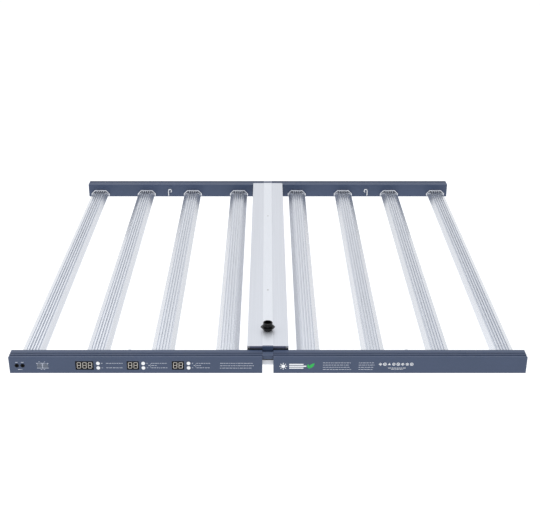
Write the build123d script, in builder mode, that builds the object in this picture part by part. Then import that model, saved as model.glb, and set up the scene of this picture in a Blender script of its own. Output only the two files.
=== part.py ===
"""Folding eight-bar LED grow light: a driver spine with a hinged wing of four bars on each side.

Sizes are in millimetres. +X runs to the right along the front rail, +Y runs from the front rail to the
rear rail, and +Z is up. The origin is on the ground under the middle of the light.
"""

import os
from math import cos, radians, sin

from build123d import *

WINGS = {"left": -1, "right": 1}
ENDS = (-1, 1)

# Whole light
WIDTH = 1090.0
LENGTH = 1055.6

# Rails: hollow extrusions, open below, split at the middle of the light
RAIL_DEPTH = 31.5
RAIL_HEIGHT = 38.5
RAIL_WALL = 2.2
RAIL_ROOF = 3.4
RAIL_GAP = 23.4
RAIL_GROOVES = ((3.5, 10.5), (15.5, 18.5))
GROOVE_DEPTH = 1.2
RAIL_ROUNDING = 0.8
LEDGE_WIDTH = 1.2
LEDGE_HEIGHT = 1.0
COVER_THICKNESS = 1.5
COVER_RECESS = 0.3
COVER_CLEARANCE = 0.15
INNER_CAP = 2.0
OUTER_CAP = 3.0
CAP_PLUG = 4.0
CAP_CLEARANCE = 0.2

# Spine: driver housing with its base tray, raised cover strip and end pieces
SPINE_WIDTH = 88.0
SPINE_TOP = 45.0
SPINE_END = 36.1
SPINE_WALL = 2.5
SPINE_ROOF = 3.0
SPINE_ROUNDING = 1.2
CORNER_BOSS_WIDTH = 5.6
CORNER_BOSS_HEIGHT = 6.5
BASE_THICKNESS = 2.0
BASE_BOSS = 8.0
BASE_LIP_HEIGHT = 12.0
BASE_LIP_WIDTH = 80.0
STRIP_WIDTH = 23.0
STRIP_THICKNESS = 1.0
END_PLATE_WIDTH = 76.0
END_PLATE_THICKNESS = 1.8
END_PLATE_FOOT = 12.2
END_COVER_WIDTH = 87.0
END_COVER_THICKNESS = 1.5
END_COVER_TOP = 40.5

# Hinges: one shoulder bolt through the inner wall of each rail
HINGE_X = 23.0
HINGE_Z = 17.5
SHOULDER_RADIUS = 4.0
HINGE_CLEARANCE = 0.05
BUSH_RADIUS = 6.0
BUSH_FLANGE_RADIUS = 8.0
BUSH_FLANGE = 1.5
BUSH_STANDOFF = 0.2
BOLT_HEAD_RADIUS = 7.0
BOLT_HEAD = 5.0
BOLT_HEAD_GAP = 0.3
BOLT_THREAD_RADIUS = 3.0
BOLT_SOCKET = 5.0
WASHER_RADIUS = 7.0
WASHER_THICKNESS = 0.8
BOSS_RADIUS = 5.0
BOSS_LENGTH = 5.0

# Stop blocks: they fill the gap between the rails and hold both wings flat
STOP_HALF_WIDTH = 11.4
STOP_INSETS = {-1: 7.0, 1: 0.8}
STOP_BACK = 24.0
STOP_FOOT = 29.3
STOP_NECK_TOP = 34.0
STOP_LIP_FRONT = 31.2
STOP_LIP_TOP = 46.3
STOP_ROUNDING = 0.8

# Bars: finned extrusions with a recess for the lamp board underneath
BAR_PITCH = 140.6
FIRST_BAR = 88.0
BARS_PER_WING = 4
BAR_HALF_WIDTH = 25.0
BAR_FOOT = 6.5
BAR_SKIRT_TOP = 9.4
BAR_SHOULDER_X = 15.4
BAR_SHOULDER_Z = 15.6
BAR_SHOULDER_LAND = 0.9
RECESS_HALF_WIDTH = 22.6
RECESS_ROOF = 10.2
FIN_FLOOR = 13.6
FIN_TOP = 18.0
FIN_PLACES = (9.6, 3.1, -3.1, -9.6)
FIN_ROOT = 1.9
FIN_TIP = 1.4
FIN_ROUNDING = 0.6
BOARD_WIDTH = 43.6
BOARD_THICKNESS = 1.6
BOARD_MARGIN = 6.0
BAR_SCREW_X = 9.6
BAR_SCREW_Z = 12.4
BAR_SCREW_RADIUS = 1.45
BAR_SCREW_DEPTH = 14.0
BAR_SCREW_TIP_GAP = 1.0
BAR_SCREW_HEAD_RADIUS = 2.7
BAR_SCREW_HEAD = 2.0
SCREW_CLEARANCE_RADIUS = 1.7

# Collars: bent plates that hold the ends of the bars against the rails
COLLAR_DEPTH = 3.0
COLLAR_FOOT = 3.6
COLLAR_HALF_WIDTH = 27.2
COLLAR_KNEE = 10.2
COLLAR_TOP_HALF_WIDTH = 17.2
COLLAR_TOP = 20.7
COLLAR_INNER_HALF_WIDTH = 25.2
COLLAR_INNER_KNEE = 9.6
COLLAR_INNER_TOP_HALF_WIDTH = 16.2
COLLAR_INNER_TOP = 18.3
COLLAR_ROUNDING = 1.5

# Hanging hooks: threaded wire hooks in the inner walls of the rails
HOOK_X = 301.0
HOOK_Z = 9.0
HOOK_WIRE_RADIUS = 1.4
HOOK_REACH = 16.0
HOOK_BEND = 4.0
HOOK_CURL_Z = 24.5
HOOK_CURL_RADIUS = 4.5
HOOK_CURL_END = -70.0
HOOK_TAIL = 7.0
NUT_SIZE = 3.2
NUT_THICKNESS = 2.4

# Power inlet on the cover strip
INLET_Y = -423.6
INLET_STEM_RADIUS = 7.0
INLET_HOLE_RADIUS = 7.2
INLET_STEM_FOOT = 31.0
INLET_GASKET = 0.8
INLET_FOOT_RADIUS = 9.1
INLET_HEX_FOOT = 52.3
INLET_HEX_TOP = 55.3
INLET_HEX_RADIUS = 15.6
INLET_BARREL_RADIUS = 10.4
INLET_TOP = 65.0
INLET_CHAMFER = 0.5
INLET_SOCKET_RADIUS = 8.3
INLET_SOCKET_FLOOR = 54.0
INLET_CORE_RADIUS = 5.5
INLET_CORE_TOP = 60.0
INLET_KEY_WIDTH = 2.2
INLET_KEY_DEPTH = 1.2
INLET_PIN_RADIUS = 1.2
INLET_PIN_CIRCLE = 2.9
INLET_PIN_TOP = 59.2
INLET_PIN_FOOT = 26.0
INLET_NUT_RADIUS = 11.5
INLET_NUT_THICKNESS = 5.0

# Screws of the spine
STRIP_SCREW_Y = 229.0
STRIP_SCREW_HEAD_RADIUS = 2.2
STRIP_SCREW_HEAD = 0.5
STRIP_SCREW_RADIUS = 1.25
STRIP_SCREW_LENGTH = 6.0
BASE_SCREW_X = 38.5
BASE_SCREW_YS = (-450.0, -150.0, 150.0, 450.0)
BASE_SCREW_RADIUS = 1.3
BASE_SCREW_HEAD_RADIUS = 2.5
BASE_SCREW_HEAD = 1.4
BASE_SCREW_LENGTH = 7.0

# Drivers and junction board inside the spine
DRIVER_WIDTH = 70.0
DRIVER_HEIGHT = 34.0
DRIVER_FOOT = 2.0
DRIVER_SPANS = {"front_driver": (-335.0, 60.0), "rear_driver": (80.0, 475.0)}
DRIVER_ROUNDING = 3.0
JUNCTION_SPAN = (-400.0, -350.0)
JUNCTION_WIDTH = 60.0
JUNCTION_FOOT = 4.0
JUNCTION_LEG_RADIUS = 2.5
JUNCTION_LEG_MARGIN = 4.0
TERMINAL_WIDTH = 46.0
TERMINAL_DEPTH = 12.0
TERMINAL_HEIGHT = 10.0

# Control panel in the left front rail
JACK_PLACES = ((-528.7, 18.3), (-516.5, 18.3))
JACK_NOSE_RADIUS = 4.3
JACK_HOLE_RADIUS = 4.35
JACK_NOSE_PROUD = 0.5
JACK_BORE_RADIUS = 1.8
JACK_BORE_DEPTH = 13.0
JACK_BODY = 10.0
JACK_BODY_DEPTH = 13.5
DISPLAY_Z = 18.55
DISPLAY_HEIGHT = 20.8
DISPLAYS = {
    "three_digit_display": ((-386.2, 38.6),),
    "two_digit_displays": ((-284.3, 25.8), (-189.3, 25.8)),
}
DISPLAY_INSET = 0.4
DISPLAY_CLEARANCE = 0.2
BOARD_INSET = 8.0
CONTROL_BOARD_SPAN = (-500.0, -155.0)
CONTROL_BOARD_HEIGHTS = (5.0, 32.0)
SPACER_XS = (-494.0, -331.0, -230.0, -160.0)
SPACER_ZS = (7.5, 29.5)
SPACER_RADIUS = 2.0
BUTTON_COLUMNS = {"first": -357.4, "second": -262.2, "third": -166.9}
BUTTON_ROWS = {"plus": 23.9, "minus": 12.9}
BUTTON_RADIUS = 3.95
BUTTON_HOLE_RADIUS = 4.25
BUTTON_PROUD = 0.9
BUTTON_ROUNDING = 0.35
BUTTON_FLANGE_RADIUS = 5.1
BUTTON_FLANGE_INSET = 2.5
BUTTON_FLANGE = 1.0
SWITCH_SIZE = 6.2
SWITCH_INSET = 5.2
PLUNGER_RADIUS = 1.7
PLUNGER_INSET = 4.6

# Worked out from the sizes above
SPINE_LENGTH = LENGTH - 2 * SPINE_END
RAIL_START = RAIL_GAP / 2 + INNER_CAP
RAIL_LENGTH = WIDTH / 2 - OUTER_CAP - RAIL_START
BAR_LENGTH = LENGTH - 2 * RAIL_DEPTH
COVER_TOP = COVER_RECESS + COVER_THICKNESS
STRIP_TOP = SPINE_TOP + STRIP_THICKNESS
END_PLATE_INSET = SPINE_END - END_PLATE_THICKNESS
END_COVER_INSET = END_PLATE_INSET - END_COVER_THICKNESS
WASHER_INSET = END_COVER_INSET - WASHER_THICKNESS
BUSH_INSET = RAIL_DEPTH - RAIL_WALL - BUSH_FLANGE
BOLT_HEAD_INSET = BUSH_INSET - BOLT_HEAD - BOLT_HEAD_GAP


def inward(end, inset):
    """Y of the place that lies inset behind the outer face of the rail at that end."""
    return end * (LENGTH / 2 - inset)


def facing(y):
    """Upright plane at that Y, with its own x along +X and its own y along +Z."""
    return Plane.XZ.offset(-y)


def bar_centres(wing):
    """X of the middle of each bar of a wing, from the spine outwards."""
    return [wing * (FIRST_BAR + k * BAR_PITCH) for k in range(BARS_PER_WING)]


def bar_screw_places(wing):
    """X and Z of the two screws that hold each bar of a wing."""
    return [(x + side * BAR_SCREW_X, BAR_SCREW_Z) for x in bar_centres(wing) for side in (-1, 1)]


def base_screw_places():
    """X and Y of the screws that hold the base tray."""
    return [(side * BASE_SCREW_X, y) for side in (-1, 1) for y in BASE_SCREW_YS]


def hinge_places():
    """X and Z of the two hinge axes."""
    return [(wing * HINGE_X, HINGE_Z) for wing in WINGS.values()]


def save(piece, name):
    """Labels a finished piece and writes it under its name."""
    piece.part.label = name
    export_step(piece.part, f"parts/{name}.step")


# Rails and what closes them


def rail_outline(end):
    """Outside of a rail's section as (y, z), from the outer foot over the grooved top to the inner foot."""
    top = RAIL_HEIGHT
    points = [(0, 0), (0, top)]
    for start, stop in RAIL_GROOVES:
        points += [(start, top), (start, top - GROOVE_DEPTH), (stop, top - GROOVE_DEPTH), (stop, top)]
    points += [(RAIL_DEPTH, top), (RAIL_DEPTH, 0)]
    return [(inward(end, inset), z) for inset, z in points]


def rail_hollow(end):
    """Inside of a rail's section as (y, z), with the two ledges that the bottom cover snaps under."""
    roof = RAIL_HEIGHT - RAIL_ROOF
    ledge_top = COVER_TOP + LEDGE_HEIGHT
    half = [(RAIL_WALL, roof), (RAIL_WALL, ledge_top), (RAIL_WALL + LEDGE_WIDTH, ledge_top)]
    half += [(RAIL_WALL + LEDGE_WIDTH, COVER_TOP), (RAIL_WALL, COVER_TOP), (RAIL_WALL, 0)]
    points = [(RAIL_DEPTH - inset, z) for inset, z in reversed(half)] + half
    return [(inward(end, inset), z) for inset, z in points]


def round_rail_top(section):
    """Rounds the two long outer edges at the top of a rail's section."""
    top = section.vertices().group_by(Axis.Y)[-1].sort_by(Axis.X)
    fillet([top[0], top[-1]], RAIL_ROUNDING)


def make_rail(wing, end, windows=(), ports=()):
    """Rail extrusion with its holes for the hinge, bars and hook, and any panel windows and round ports."""
    with BuildPart() as rail:
        with BuildSketch(Plane.YZ.offset(wing * RAIL_START)) as section:
            with BuildLine():
                Polyline(*rail_outline(end), *rail_hollow(end), close=True)
            make_face()
            round_rail_top(section)
        extrude(amount=wing * RAIL_LENGTH)
        with BuildSketch(facing(inward(end, RAIL_DEPTH - RAIL_WALL / 2))):
            with Locations((wing * HINGE_X, HINGE_Z)):
                Circle(BUSH_RADIUS)
            with Locations(*bar_screw_places(wing)):
                Circle(SCREW_CLEARANCE_RADIUS)
            with Locations((wing * HOOK_X, HOOK_Z)):
                Circle(HOOK_WIRE_RADIUS)
        extrude(amount=RAIL_WALL, both=True, mode=Mode.SUBTRACT)
        if windows:
            with BuildSketch(facing(inward(end, RAIL_WALL / 2))):
                for x, width in windows:
                    with Locations((x, DISPLAY_Z)):
                        Rectangle(width, DISPLAY_HEIGHT)
                for x, z, radius in ports:
                    with Locations((x, z)):
                        Circle(radius)
            extrude(amount=RAIL_WALL, both=True, mode=Mode.SUBTRACT)
    return rail


def make_rail_covers(wing):
    """Strips that close the rails of a wing from below."""
    middle = RAIL_DEPTH / 2
    with BuildPart() as covers:
        for end in ENDS:
            with BuildSketch(Plane.YZ.offset(wing * RAIL_START)):
                with Locations((inward(end, middle), COVER_RECESS + COVER_THICKNESS / 2)):
                    Rectangle(RAIL_DEPTH - 2 * (RAIL_WALL + COVER_CLEARANCE), COVER_THICKNESS)
            extrude(amount=wing * RAIL_LENGTH)
    return covers


def make_end_caps(wing):
    """Caps on both ends of both rails of a wing; the outer ones have a plug inside the rail."""
    hollow_foot = COVER_TOP + LEDGE_HEIGHT + CAP_CLEARANCE
    hollow_top = RAIL_HEIGHT - RAIL_ROOF - CAP_CLEARANCE
    with BuildPart() as caps:
        for end in ENDS:
            for start, thickness in ((RAIL_GAP / 2, INNER_CAP), (WIDTH / 2 - OUTER_CAP, OUTER_CAP)):
                with BuildSketch(Plane.YZ.offset(wing * start)) as section:
                    with BuildLine():
                        Polyline(*rail_outline(end), close=True)
                    make_face()
                    round_rail_top(section)
                extrude(amount=wing * thickness)
            with BuildSketch(Plane.YZ.offset(wing * (WIDTH / 2 - OUTER_CAP))):
                with Locations((inward(end, RAIL_DEPTH / 2), (hollow_foot + hollow_top) / 2)):
                    Rectangle(RAIL_DEPTH - 2 * (RAIL_WALL + CAP_CLEARANCE), hollow_top - hollow_foot)
            extrude(amount=-wing * CAP_PLUG)
    return caps


# Hinges


def make_hinge_bushes(wing):
    """Flanged bushes in the inner walls of the rails."""
    with BuildPart() as bushes:
        for end in ENDS:
            for start, stop, radius in (
                (BUSH_INSET, BUSH_INSET + BUSH_FLANGE, BUSH_FLANGE_RADIUS),
                (BUSH_INSET + BUSH_FLANGE, RAIL_DEPTH + BUSH_STANDOFF, BUSH_RADIUS),
            ):
                with BuildSketch(facing(inward(end, start))):
                    with Locations((wing * HINGE_X, HINGE_Z)):
                        Circle(radius)
                        Circle(SHOULDER_RADIUS + HINGE_CLEARANCE, mode=Mode.SUBTRACT)
                extrude(amount=end * (stop - start))
    return bushes


def make_hinge_bolts():
    """Shoulder bolts: hexagon socket head inside the rail, shoulder in the bush, thread in the end plate."""
    steps = (
        (BOLT_HEAD_INSET, BOLT_HEAD_INSET + BOLT_HEAD, BOLT_HEAD_RADIUS),
        (BOLT_HEAD_INSET + BOLT_HEAD, END_PLATE_INSET, SHOULDER_RADIUS),
        (END_PLATE_INSET, SPINE_END + BOSS_LENGTH, BOLT_THREAD_RADIUS),
    )
    with BuildPart() as bolts:
        for end in ENDS:
            for start, stop, radius in steps:
                with BuildSketch(facing(inward(end, start))):
                    with Locations(*hinge_places()):
                        Circle(radius)
                extrude(amount=end * (stop - start))
            with BuildSketch(facing(inward(end, BOLT_HEAD_INSET))):
                with Locations(*hinge_places()):
                    RegularPolygon(BOLT_SOCKET / 2, 6, major_radius=False)
            extrude(amount=end * BOLT_HEAD / 2, mode=Mode.SUBTRACT)
    return bolts


def make_hinge_washers():
    """Thrust washers between the end covers and the rails."""
    with BuildPart() as washers:
        for end in ENDS:
            with BuildSketch(facing(inward(end, WASHER_INSET))):
                with Locations(*hinge_places()):
                    Circle(WASHER_RADIUS)
                    Circle(SHOULDER_RADIUS, mode=Mode.SUBTRACT)
            extrude(amount=end * WASHER_THICKNESS)
    return washers


# Spine


def make_spine_housing():
    """Inverted channel with a screw boss along each foot and a stiffening boss in each upper corner."""
    half = SPINE_WIDTH / 2
    boss_top = BASE_THICKNESS + BASE_BOSS
    profile = [(half, SPINE_TOP), (half, BASE_THICKNESS), (half - BASE_BOSS, BASE_THICKNESS)]
    profile += [(half - BASE_BOSS, boss_top), (half - SPINE_WALL, boss_top)]
    profile += [(half - SPINE_WALL, SPINE_TOP - CORNER_BOSS_HEIGHT)]
    profile += [(half - CORNER_BOSS_WIDTH, SPINE_TOP - CORNER_BOSS_HEIGHT)]
    profile += [(half - CORNER_BOSS_WIDTH, SPINE_TOP - SPINE_ROOF)]
    mirrored = [(-x, z) for x, z in reversed(profile)]
    with BuildPart() as housing:
        with BuildSketch(facing(-SPINE_LENGTH / 2)) as section:
            with BuildLine():
                Polyline(*profile, *mirrored, close=True)
            make_face()
            fillet(section.vertices().group_by(Axis.Y)[-1], SPINE_ROUNDING)
        extrude(amount=-SPINE_LENGTH)
        with BuildSketch(Plane.XY.offset(SPINE_TOP)):
            with Locations((0, INLET_Y)):
                Circle(INLET_HOLE_RADIUS)
            with Locations((0, -STRIP_SCREW_Y), (0, STRIP_SCREW_Y)):
                Circle(STRIP_SCREW_RADIUS)
        extrude(amount=-SPINE_ROOF, mode=Mode.SUBTRACT)
        with BuildSketch(Plane.XY.offset(BASE_THICKNESS)):
            with Locations(*base_screw_places()):
                Circle(BASE_SCREW_RADIUS)
        extrude(amount=BASE_SCREW_LENGTH, mode=Mode.SUBTRACT)
    return housing


def make_spine_base():
    """Flat tray under the spine, turned up at both ends, with countersunk screw holes."""
    upwards = (Align.CENTER, Align.CENTER, Align.MIN)
    with BuildPart() as base:
        with BuildSketch(Plane.XY):
            Rectangle(SPINE_WIDTH, SPINE_LENGTH)
        extrude(amount=BASE_THICKNESS)
        for end in ENDS:
            with BuildSketch(facing(inward(end, END_PLATE_INSET))):
                with Locations((0, BASE_LIP_HEIGHT / 2)):
                    Rectangle(BASE_LIP_WIDTH, BASE_LIP_HEIGHT)
            extrude(amount=end * END_PLATE_THICKNESS)
        with Locations(*base_screw_places()):
            Cylinder(BASE_SCREW_RADIUS, BASE_THICKNESS, align=upwards, mode=Mode.SUBTRACT)
            Cone(
                BASE_SCREW_HEAD_RADIUS,
                BASE_SCREW_RADIUS,
                BASE_SCREW_HEAD,
                align=upwards,
                mode=Mode.SUBTRACT,
            )
    return base


def make_base_screws():
    """Countersunk screws that hold the base tray to the bosses of the housing."""
    upwards = (Align.CENTER, Align.CENTER, Align.MIN)
    with BuildPart() as screws:
        with Locations(*base_screw_places()):
            Cylinder(BASE_SCREW_RADIUS, BASE_THICKNESS + BASE_SCREW_LENGTH, align=upwards)
            Cone(BASE_SCREW_HEAD_RADIUS, BASE_SCREW_RADIUS, BASE_SCREW_HEAD, align=upwards)
    return screws


def make_cover_strip():
    """Raised strip along the middle of the spine, over the wiring slot."""
    with BuildPart() as strip:
        with BuildSketch(Plane.XY.offset(SPINE_TOP)):
            Rectangle(STRIP_WIDTH, SPINE_LENGTH)
            with Locations((0, INLET_Y)):
                Circle(INLET_HOLE_RADIUS, mode=Mode.SUBTRACT)
            with Locations((0, -STRIP_SCREW_Y), (0, STRIP_SCREW_Y)):
                Circle(STRIP_SCREW_RADIUS, mode=Mode.SUBTRACT)
        extrude(amount=STRIP_THICKNESS)
        sides = strip.edges().filter_by(Axis.Y).group_by(Axis.Z)[-1]
        chamfer(sides, STRIP_THICKNESS / 2)
    return strip


def make_strip_screws():
    """Two low-headed screws that hold the cover strip."""
    with BuildPart() as screws:
        with BuildSketch(Plane.XY.offset(STRIP_TOP)):
            with Locations((0, -STRIP_SCREW_Y), (0, STRIP_SCREW_Y)):
                Circle(STRIP_SCREW_HEAD_RADIUS)
        extrude(amount=STRIP_SCREW_HEAD)
        with BuildSketch(Plane.XY.offset(STRIP_TOP)):
            with Locations((0, -STRIP_SCREW_Y), (0, STRIP_SCREW_Y)):
                Circle(STRIP_SCREW_RADIUS)
        extrude(amount=-STRIP_SCREW_LENGTH)
    return screws


def make_end_plate(end):
    """Steel plate on the end of the spine, with a tapped boss for each hinge bolt."""
    with BuildPart() as plate:
        with BuildSketch(facing(inward(end, END_PLATE_INSET))):
            with Locations((0, (END_PLATE_FOOT + SPINE_TOP) / 2)):
                Rectangle(END_PLATE_WIDTH, SPINE_TOP - END_PLATE_FOOT)
        extrude(amount=end * END_PLATE_THICKNESS)
        with BuildSketch(facing(inward(end, SPINE_END))):
            with Locations(*hinge_places()):
                Circle(BOSS_RADIUS)
        extrude(amount=end * BOSS_LENGTH)
        with BuildSketch(facing(inward(end, END_PLATE_INSET))):
            with Locations(*hinge_places()):
                Circle(BOLT_THREAD_RADIUS)
        extrude(amount=end * (END_PLATE_THICKNESS + BOSS_LENGTH), mode=Mode.SUBTRACT)
    return plate


def make_end_cover(end):
    """Moulded cover over the end plate, which the thrust washers bear on."""
    with BuildPart() as cover:
        with BuildSketch(facing(inward(end, END_COVER_INSET))):
            with Locations((0, (END_PLATE_FOOT + END_COVER_TOP) / 2)):
                Rectangle(END_COVER_WIDTH, END_COVER_TOP - END_PLATE_FOOT)
            with Locations(*hinge_places()):
                Circle(SHOULDER_RADIUS, mode=Mode.SUBTRACT)
        extrude(amount=end * END_COVER_THICKNESS)
    return cover


def make_stop_block(end):
    """Block between the rails, on a neck from a flange whose lip covers the end of the strip.

    The front block stands back from the rails' panels, and the rear one is level with the rails.
    """
    outer = STOP_INSETS[end]
    outline = [
        ((outer, STOP_FOOT), STOP_ROUNDING),
        ((outer, RAIL_HEIGHT), STOP_ROUNDING),
        ((STOP_BACK, RAIL_HEIGHT), STOP_ROUNDING),
        ((STOP_BACK, STOP_NECK_TOP), 0),
        ((STOP_LIP_FRONT, STOP_NECK_TOP), 0),
        ((STOP_LIP_FRONT, STOP_LIP_TOP), STOP_ROUNDING / 2),
        ((SPINE_END, STOP_LIP_TOP), 0),
        ((SPINE_END, SPINE_TOP), 0),
        ((END_COVER_INSET, SPINE_TOP), 0),
        ((END_COVER_INSET, STOP_FOOT), 0),
    ]
    points = [(inward(end, inset), z) for (inset, z), _ in outline]
    with BuildPart() as block:
        with BuildSketch(Plane.YZ):
            with BuildLine():
                FilletPolyline(*points, radius=[radius for _, radius in outline], close=True)
            make_face()
        extrude(amount=STOP_HALF_WIDTH, both=True)
    return block


def make_driver(span):
    """Potted LED driver: a rounded can that stands on the base tray."""
    start, stop = span
    with BuildPart() as driver:
        with BuildSketch(Plane.XY.offset(DRIVER_FOOT)):
            with Locations((0, (start + stop) / 2)):
                RectangleRounded(DRIVER_WIDTH, stop - start, DRIVER_ROUNDING)
        extrude(amount=DRIVER_HEIGHT)
        fillet(driver.faces().sort_by(Axis.Z)[-1].edges(), DRIVER_ROUNDING / 2)
    return driver


def make_junction_board():
    """Board on four legs with a terminal block, between the inlet and the drivers."""
    start, stop = JUNCTION_SPAN
    middle = (start + stop) / 2
    with BuildPart() as board:
        with BuildSketch(Plane.XY.offset(JUNCTION_FOOT)):
            with Locations((0, middle)):
                Rectangle(JUNCTION_WIDTH, stop - start)
        extrude(amount=BOARD_THICKNESS)
        with BuildSketch(Plane.XY.offset(JUNCTION_FOOT + BOARD_THICKNESS)):
            with Locations((0, middle)):
                Rectangle(TERMINAL_WIDTH, TERMINAL_DEPTH)
        extrude(amount=TERMINAL_HEIGHT)
        leg_x = JUNCTION_WIDTH / 2 - JUNCTION_LEG_MARGIN
        leg_ys = (start + JUNCTION_LEG_MARGIN, stop - JUNCTION_LEG_MARGIN)
        with BuildSketch(Plane.XY.offset(BASE_THICKNESS)):
            with Locations(*[(side * leg_x, y) for side in (-1, 1) for y in leg_ys]):
                Circle(JUNCTION_LEG_RADIUS)
        extrude(amount=JUNCTION_FOOT - BASE_THICKNESS)
    return board


# Power inlet


def make_inlet_body():
    """Threaded stem, hexagon collar and open barrel with a keyed core for three contacts."""
    seat = STRIP_TOP + INLET_GASKET
    steps = (
        (INLET_STEM_FOOT, seat, INLET_STEM_RADIUS),
        (seat, INLET_HEX_FOOT, INLET_FOOT_RADIUS),
        (INLET_HEX_TOP, INLET_TOP, INLET_BARREL_RADIUS),
    )
    with BuildPart() as body:
        for start, stop, radius in steps:
            with BuildSketch(Plane.XY.offset(start)):
                with Locations((0, INLET_Y)):
                    Circle(radius)
            extrude(amount=stop - start)
        with BuildSketch(Plane.XY.offset(INLET_HEX_FOOT)):
            with Locations((0, INLET_Y)):
                RegularPolygon(INLET_HEX_RADIUS, 6)
        extrude(amount=INLET_HEX_TOP - INLET_HEX_FOOT)
        chamfer(body.faces().sort_by(Axis.Z)[-1].edges(), INLET_CHAMFER)
        with BuildSketch(Plane.XY.offset(INLET_SOCKET_FLOOR)):
            with Locations((0, INLET_Y)):
                Circle(INLET_SOCKET_RADIUS)
            with Locations((0, INLET_Y + INLET_SOCKET_RADIUS - INLET_KEY_DEPTH / 2)):
                Rectangle(INLET_KEY_WIDTH, INLET_KEY_DEPTH, mode=Mode.SUBTRACT)
        extrude(amount=INLET_TOP - INLET_SOCKET_FLOOR, mode=Mode.SUBTRACT)
        with BuildSketch(Plane.XY.offset(INLET_SOCKET_FLOOR)):
            with Locations((0, INLET_Y)):
                Circle(INLET_CORE_RADIUS)
        extrude(amount=INLET_CORE_TOP - INLET_SOCKET_FLOOR)
        with BuildSketch(Plane.XY.offset(INLET_CORE_TOP)):
            with Locations((0, INLET_Y)):
                with PolarLocations(INLET_PIN_CIRCLE, 3, start_angle=90):
                    Circle(INLET_PIN_RADIUS)
        extrude(amount=INLET_STEM_FOOT - INLET_CORE_TOP, mode=Mode.SUBTRACT)
    return body


def make_inlet_pins():
    """Three contacts that run down through the core and the stem."""
    with BuildPart() as pins:
        with BuildSketch(Plane.XY.offset(INLET_PIN_FOOT)):
            with Locations((0, INLET_Y)):
                with PolarLocations(INLET_PIN_CIRCLE, 3, start_angle=90):
                    Circle(INLET_PIN_RADIUS)
        extrude(amount=INLET_PIN_TOP - INLET_PIN_FOOT)
    return pins


def make_inlet_gasket():
    """Flat seal between the inlet and the cover strip."""
    with BuildPart() as gasket:
        with BuildSketch(Plane.XY.offset(STRIP_TOP)):
            with Locations((0, INLET_Y)):
                Circle(INLET_FOOT_RADIUS)
                Circle(INLET_STEM_RADIUS, mode=Mode.SUBTRACT)
        extrude(amount=INLET_GASKET)
    return gasket


def make_inlet_nut():
    """Hexagon nut that clamps the inlet from inside the housing."""
    with BuildPart() as nut:
        with BuildSketch(Plane.XY.offset(SPINE_TOP - SPINE_ROOF)):
            with Locations((0, INLET_Y)):
                RegularPolygon(INLET_NUT_RADIUS, 6)
                Circle(INLET_STEM_RADIUS, mode=Mode.SUBTRACT)
        extrude(amount=-INLET_NUT_THICKNESS)
    return nut


# Bars, lamp boards, collars and bar screws


def bar_section():
    """Closed outline of a bar about its own middle, as (x, z)."""
    skirt = [(BAR_HALF_WIDTH, BAR_FOOT), (BAR_HALF_WIDTH, BAR_SKIRT_TOP), (BAR_SHOULDER_X, BAR_SHOULDER_Z)]
    skirt += [(BAR_SHOULDER_X - BAR_SHOULDER_LAND, BAR_SHOULDER_Z)]
    skirt += [(BAR_SHOULDER_X - 2 * BAR_SHOULDER_LAND, FIN_FLOOR)]
    fins = []
    for middle in FIN_PLACES:
        fins += [(middle + FIN_ROOT, FIN_FLOOR), (middle + FIN_TIP, FIN_TOP)]
        fins += [(middle - FIN_TIP, FIN_TOP), (middle - FIN_ROOT, FIN_FLOOR)]
    recess = [(-RECESS_HALF_WIDTH, BAR_FOOT), (-RECESS_HALF_WIDTH, RECESS_ROOF)]
    recess += [(RECESS_HALF_WIDTH, RECESS_ROOF), (RECESS_HALF_WIDTH, BAR_FOOT)]
    return skirt + fins + [(-x, z) for x, z in reversed(skirt)] + recess


def make_bar(centre):
    """Finned bar with its lamp recess and the screw holes in both ends."""
    with BuildPart() as bar:
        with BuildSketch(facing(-BAR_LENGTH / 2)) as section:
            with BuildLine():
                Polyline(*[(centre + x, z) for x, z in bar_section()], close=True)
            make_face()
            fillet(section.vertices().group_by(Axis.Y)[-1], FIN_ROUNDING)
        extrude(amount=-BAR_LENGTH)
        for end in ENDS:
            with BuildSketch(facing(inward(end, RAIL_DEPTH))):
                with Locations((centre - BAR_SCREW_X, BAR_SCREW_Z), (centre + BAR_SCREW_X, BAR_SCREW_Z)):
                    Circle(BAR_SCREW_RADIUS)
            extrude(amount=end * BAR_SCREW_DEPTH, mode=Mode.SUBTRACT)
    return bar


def make_lamp_boards(wing):
    """Boards that carry the diodes, bonded under the webs of the bars."""
    with BuildPart() as boards:
        with BuildSketch(Plane.XY.offset(RECESS_ROOF)):
            with Locations(*[(x, 0) for x in bar_centres(wing)]):
                Rectangle(BOARD_WIDTH, BAR_LENGTH - 2 * BOARD_MARGIN)
        extrude(amount=-BOARD_THICKNESS)
    return boards


def make_collars(wing):
    """Bent collars over both ends of each bar."""
    outer = [(COLLAR_HALF_WIDTH, COLLAR_FOOT), (COLLAR_HALF_WIDTH, COLLAR_KNEE)]
    outer += [(COLLAR_TOP_HALF_WIDTH, COLLAR_TOP)]
    inner = [(COLLAR_INNER_TOP_HALF_WIDTH, COLLAR_INNER_TOP)]
    inner += [(COLLAR_INNER_HALF_WIDTH, COLLAR_INNER_KNEE), (COLLAR_INNER_HALF_WIDTH, COLLAR_FOOT)]
    outline = [(-x, z) for x, z in outer] + [(x, z) for x, z in reversed(outer)]
    outline += [(x, z) for x, z in reversed(inner)] + [(-x, z) for x, z in inner]
    with BuildPart() as collars:
        for end in ENDS:
            for centre in bar_centres(wing):
                with BuildSketch(facing(inward(end, RAIL_DEPTH))) as section:
                    with BuildLine():
                        Polyline(*[(centre + x, z) for x, z in outline], close=True)
                    make_face()
                    fillet(section.vertices().group_by(Axis.Y)[-1], COLLAR_ROUNDING)
                extrude(amount=end * COLLAR_DEPTH)
    return collars


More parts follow.
